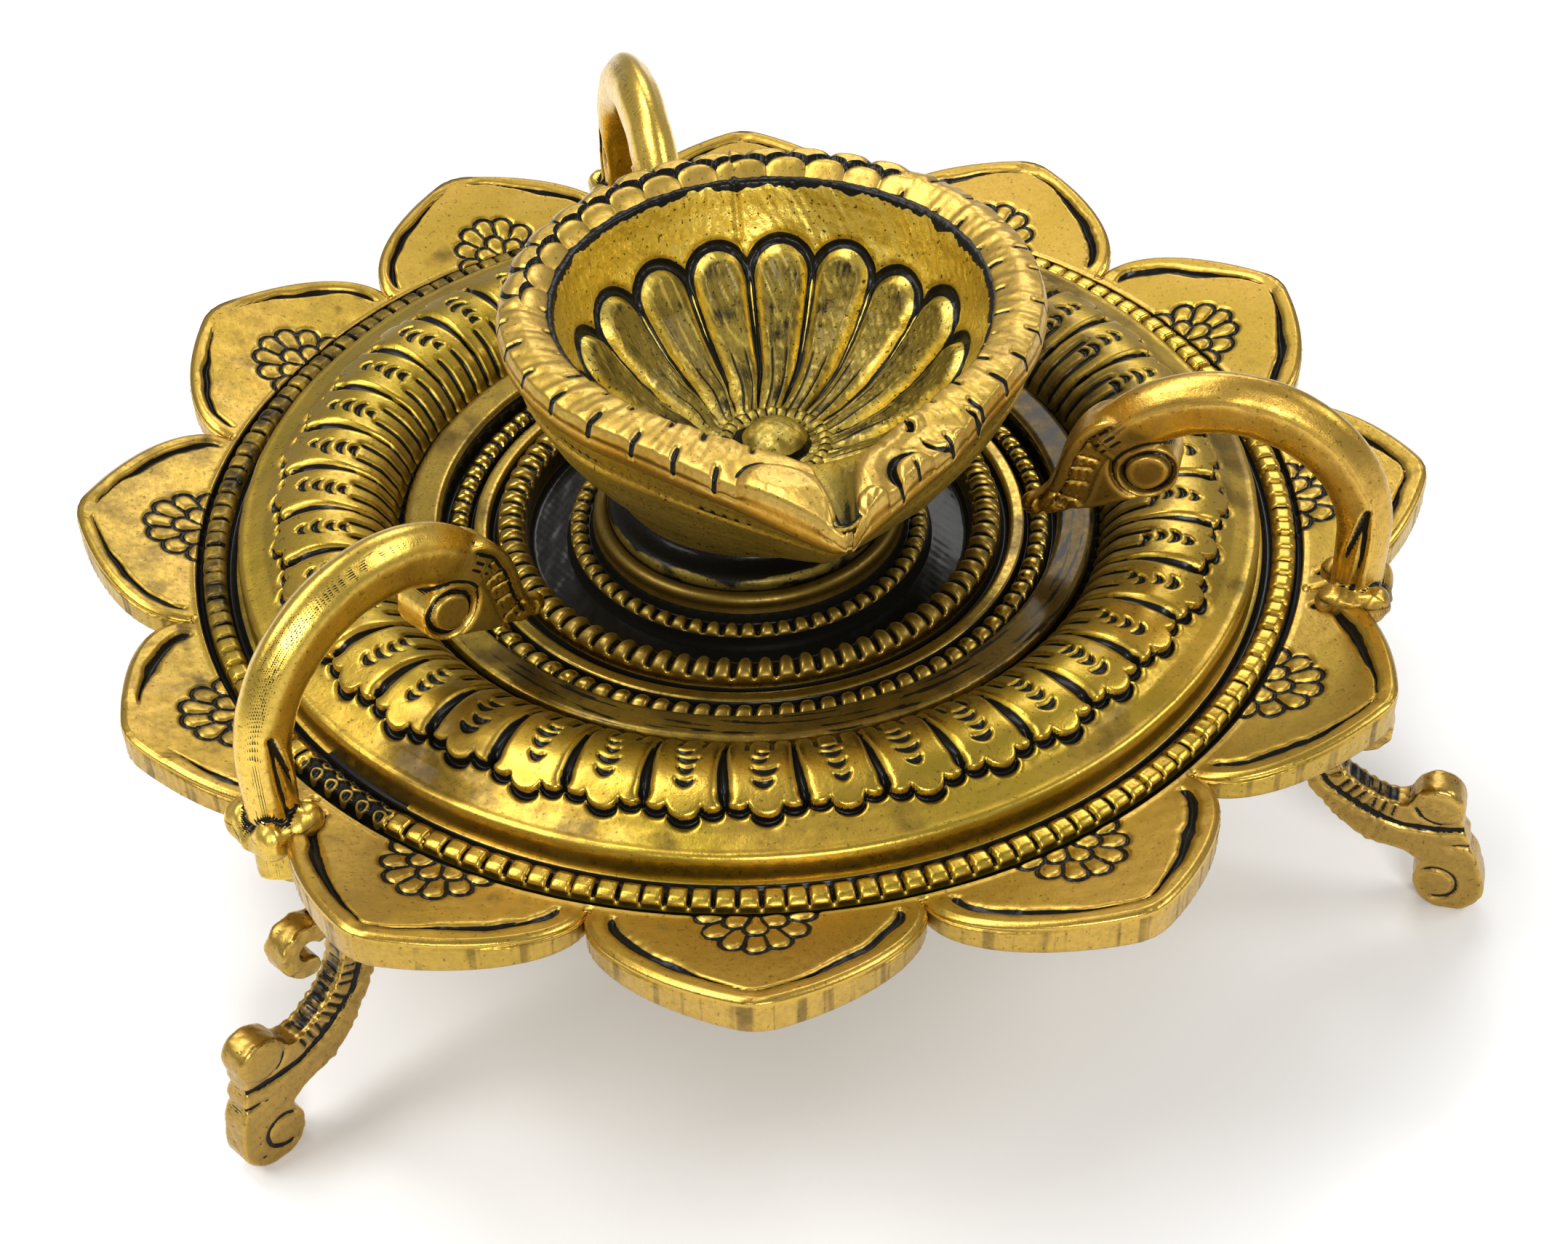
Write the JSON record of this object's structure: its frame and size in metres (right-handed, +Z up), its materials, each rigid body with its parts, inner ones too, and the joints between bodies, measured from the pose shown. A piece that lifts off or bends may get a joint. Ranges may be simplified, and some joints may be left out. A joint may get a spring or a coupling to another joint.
{
  "type": "diya oil lamp",
  "caption": "Cast brass oil lamp: leaf-shaped bowl with a wick spout bolted on a lotus plate with swan-neck handles and scroll legs.",
  "frame": {"origin": "on the table, under the axis of the lotus plate", "axes": "+Z up; the bowl's wick spout points to -Y; +X to the right of the spout seen from the front"},
  "size_m": [0.1783, 0.1866, 0.0862],
  "materials": {
    "plate_brass": "antique cast brass, brushed and lacquered flats with black patina in the grooves",
    "bowl_brass": "antique cast brass, glossy grained well, brushed rim with black patina in the cuts",
    "handle_brass": "antique cast brass, filed spine and brushed flats, brown-black in the carving",
    "leg_brass": "antique cast brass, sand-cast skin with dark patina between the ribs",
    "fastener_brass": "dull turned brass"
  },
  "bodies": {
    "root": {"lotus_plate": "plate_brass", "diya_bowl": "bowl_brass", "centre_bolt": "fastener_brass", "bolt_washer": "fastener_brass", "handle_right": "handle_brass", "handle_back": "handle_brass", "handle_left": "handle_brass", "leg_right": "leg_brass", "leg_back": "leg_brass", "leg_left": "leg_brass", "handle_screw_right": "fastener_brass", "handle_screw_back": "fastener_brass", "handle_screw_left": "fastener_brass", "leg_screw_right": "fastener_brass", "leg_screw_back": "fastener_brass", "leg_screw_left": "fastener_brass"}
  },
  "joints": []
}
